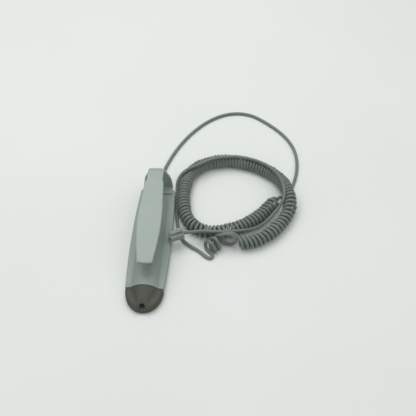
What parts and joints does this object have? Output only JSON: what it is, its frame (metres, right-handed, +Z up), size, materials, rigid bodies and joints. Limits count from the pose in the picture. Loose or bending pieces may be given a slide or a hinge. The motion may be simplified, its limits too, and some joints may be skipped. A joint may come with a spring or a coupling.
{
  "type": "clip-on esd hand unit with coiled cord",
  "caption": "Slim clip-on hand unit with a sprung U-bend clip, dark nose cap with a ground socket, coiled cord and clear modular plug.",
  "frame": {"origin": "centre of the flat underside of the hand unit with its cord boot, on the table", "axes": "+Y along the hand unit from the nose cap to the bend of the clip, +X towards the side where the coiled cord lies, +Z up"},
  "size_m": [0.1419, 0.24, 0.036],
  "materials": {
    "shell_plastic": "fine moulded satin, light grey-green",
    "clip_plastic": "fine moulded satin, light grey-green",
    "cap_plastic": "satin moulded, dark warm grey",
    "socket_brass": "turned, dull",
    "nut_steel": "plated",
    "board_laminate": "solder-masked laminate",
    "screw_steel": "zinc plated",
    "resistor_body": "lacquered ceramic",
    "chip_black": "moulded epoxy",
    "header_white": "moulded nylon",
    "wire_sleeve": "extruded sleeve",
    "clamp_nylon": "moulded nylon",
    "cord_jacket": "extruded soft jacket, satin grey",
    "boot_rubber": "moulded soft, satin grey",
    "pad_rubber": "moulded soft",
    "plug_clear": "clear polycarbonate, polished",
    "contact_gold": "gold-plated blades",
    "conductor_olive": "extruded sleeve"
  },
  "bodies": {
    "hand_unit": {"lower_shell": "shell_plastic", "upper_shell": "shell_plastic", "nose_cap": "cap_plastic", "ground_socket": "socket_brass", "socket_nut": "nut_steel", "circuit_board": "board_laminate", "housing_screws": "screw_steel", "board_screws": "screw_steel", "series_resistor": "resistor_body", "interface_chip": "chip_black", "cord_header": "header_white", "cord_conductors": "wire_sleeve", "socket_wire": "wire_sleeve", "cord_clamp": "clamp_nylon", "clamp_screws": "screw_steel", "cord_entry": "cord_jacket", "strain_relief": "boot_rubber", "clip_root": "clip_plastic", "clip_screws": "screw_steel", "plug_housing": "plug_clear", "plug_contacts": "contact_gold", "plug_conductors": "conductor_olive", "plug_wedge": "plug_clear", "plug_jacket": "cord_jacket", "cord_lead": "cord_jacket", "cord_coil": "cord_jacket", "cord_tail": "cord_jacket"},
    "clip": {"clip_arm": "clip_plastic", "grip_pad": "pad_rubber"},
    "latch": {"plug_latch": "plug_clear"}
  },
  "joints": [
    {"name": "clip_flex", "type": "hinge", "parent": "hand_unit", "child": "clip", "pos_m": [0, 0.0592, 0.02], "axis": [-1, 0, 0], "range_deg": [0, 8], "stiffness_Nm_per_rad": 3.5},
    {"name": "latch_press", "type": "hinge", "parent": "hand_unit", "child": "latch", "pos_m": [0.01603, -0.00049, 0.01474], "axis": [-0.3746, 0.9272, 0], "range_deg": [0, 10], "stiffness_Nm_per_rad": 0.05}
  ]
}
